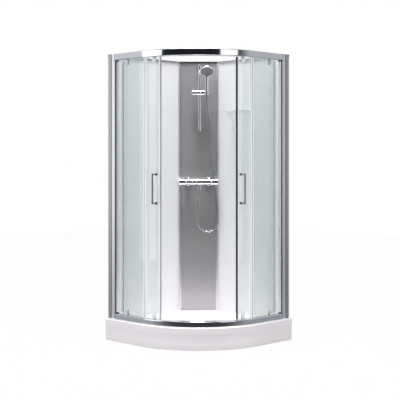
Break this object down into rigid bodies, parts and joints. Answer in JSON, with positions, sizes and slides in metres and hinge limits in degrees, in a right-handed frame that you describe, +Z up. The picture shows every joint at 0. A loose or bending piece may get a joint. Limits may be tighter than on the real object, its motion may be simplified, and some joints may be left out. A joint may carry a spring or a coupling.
{
  "type": "quadrant shower enclosure",
  "caption": "Corner shower enclosure with a low curved tray, two sliding curved glass doors, fixed glass sides, back walls and a column with valve, riser and hand shower.",
  "frame": {"origin": "the middle of the square footprint at floor level", "axes": "+Z up; the room corner is at -X +Y, the walls are the planes X = -0.45 and Y = +0.45, and the curved front faces +X -Y"},
  "size_m": [0.9, 0.9, 1.95],
  "materials": {
    "tray": "glossy white acrylic",
    "chrome": "polished chrome",
    "frame_aluminium": "polished anodised",
    "glass": "clear, faintly green",
    "black_rubber": "matte black",
    "white_seal": "soft white",
    "black_plastic": "matte black",
    "white_panel": "glossy white",
    "column_grey": "glossy grey",
    "grey_nozzles": "satin dark grey",
    "galvanised": "galvanised",
    "waste_white": "satin white",
    "wheel_plastic": "satin white"
  },
  "bodies": {
    "base": {"shower_tray": "tray", "front_apron": "tray", "tray_frame": "galvanised", "levelling_feet": "galvanised", "waste_flange": "chrome", "waste_trap": "waste_white", "wall_profile_left": "frame_aluminium", "wall_profile_right": "frame_aluminium", "upright_left": "frame_aluminium", "upright_right": "frame_aluminium", "profile_screws": "chrome", "top_rail": "frame_aluminium", "bottom_rail": "frame_aluminium", "rail_end_blocks": "black_plastic", "fixed_glass_left": "glass", "fixed_glass_right": "glass", "glass_gaskets": "black_rubber", "fixed_seals": "white_seal", "door_stops": "black_rubber", "back_panel_left": "white_panel", "back_panel_right": "white_panel", "column_panel": "column_grey", "column_trims": "frame_aluminium", "wall_top_trims": "frame_aluminium", "column_cap": "frame_aluminium", "thermostatic_valve": "chrome", "valve_unions": "chrome", "riser_rail": "chrome", "riser_brackets": "chrome", "hose_nut": "chrome", "shower_hose": "chrome", "shelf_glass": "glass", "shelf_brackets": "chrome"},
    "door_left": {"door_glass_left": "glass", "magnetic_seal_left": "white_seal", "trailing_seal_left": "white_seal", "handle_left": "chrome", "handle_screws_left": "chrome", "roller_hangers_left": "wheel_plastic", "bottom_guides_left": "wheel_plastic"},
    "door_right": {"door_glass_right": "glass", "magnetic_seal_right": "white_seal", "trailing_seal_right": "white_seal", "handle_right": "chrome", "handle_screws_right": "chrome", "roller_hangers_right": "wheel_plastic", "bottom_guides_right": "wheel_plastic"},
    "slider": {"slider": "chrome"},
    "slider_knob": {"slider_knob": "chrome"},
    "holder": {"handset_holder": "chrome", "hose_cone_nut": "chrome", "handset": "chrome", "spray_face": "grey_nozzles"},
    "temperature_knob": {"temperature_knob": "chrome"},
    "flow_knob": {"flow_knob": "chrome"},
    "waste_cover": {"waste_cover": "chrome"},
    "leading_wheel_left": {"leading_wheel_left": "wheel_plastic"},
    "trailing_wheel_left": {"trailing_wheel_left": "wheel_plastic"},
    "leading_wheel_right": {"leading_wheel_right": "wheel_plastic"},
    "trailing_wheel_right": {"trailing_wheel_right": "wheel_plastic"}
  },
  "joints": [
    {"name": "door_left_slide", "type": "hinge", "parent": "base", "child": "door_left", "pos_m": [-0.16589, 0.24799, 1], "axis": [0, 0, 1], "range_deg": [0, 22.6]},
    {"name": "door_right_slide", "type": "hinge", "parent": "base", "child": "door_right", "pos_m": [-0.24799, 0.16589, 1], "axis": [0, 0, -1], "range_deg": [0, 22.6]},
    {"name": "leading_wheel_left_spin", "type": "hinge", "parent": "door_left", "child": "leading_wheel_left", "pos_m": [-0.02076, -0.39361, 1.9193], "axis": [-0.2206, 0.9754, 0], "continuous": true},
    {"name": "leading_wheel_right_spin", "type": "hinge", "parent": "door_right", "child": "leading_wheel_right", "pos_m": [0.39361, 0.02076, 1.9193], "axis": [0.9754, -0.2206, 0], "continuous": true},
    {"name": "trailing_wheel_left_spin", "type": "hinge", "parent": "door_left", "child": "trailing_wheel_left", "pos_m": [-0.2795, -0.39994, 1.9193], "axis": [0.1727, 0.985, 0], "continuous": true},
    {"name": "trailing_wheel_right_spin", "type": "hinge", "parent": "door_right", "child": "trailing_wheel_right", "pos_m": [0.39994, 0.2795, 1.9193], "axis": [0.985, 0.1727, 0], "continuous": true},
    {"name": "handset_slider", "type": "slide", "parent": "base", "child": "slider", "axis": [0, 0, 1], "range_m": [-0.21, 0.14], "deforming": ["shower_hose"]},
    {"name": "slider_lock", "type": "hinge", "parent": "slider", "child": "slider_knob", "pos_m": [-0.33333, 0.28524, 1.719], "axis": [0.7071, 0.7071, 0], "range_deg": [-90, 90]},
    {"name": "handset_tilt", "type": "hinge", "parent": "slider", "child": "holder", "pos_m": [-0.26757, 0.35101, 1.719], "axis": [0.7071, 0.7071, 0], "range_deg": [-12, 12], "deforming": ["shower_hose"]},
    {"name": "temperature_turn", "type": "hinge", "parent": "base", "child": "temperature_knob", "pos_m": [-0.2216, 0.38565, 1.071], "axis": [0.7071, 0.7071, 0], "range_deg": [-60, 120]},
    {"name": "flow_turn", "type": "hinge", "parent": "base", "child": "flow_knob", "pos_m": [-0.38565, 0.2216, 1.071], "axis": [0.7071, 0.7071, 0], "range_deg": [-90, 90]},
    {"name": "waste_cover_lift", "type": "slide", "parent": "base", "child": "waste_cover", "axis": [0, 0, 1], "range_m": [0, 0.06]}
  ],
  "couplings": [
    {"joint": "leading_wheel_left_spin", "follows": "door_left_slide", "ratio": 59.802},
    {"joint": "leading_wheel_right_spin", "follows": "door_right_slide", "ratio": 59.802},
    {"joint": "trailing_wheel_left_spin", "follows": "door_left_slide", "ratio": 59.802},
    {"joint": "trailing_wheel_right_spin", "follows": "door_right_slide", "ratio": 59.802}
  ]
}
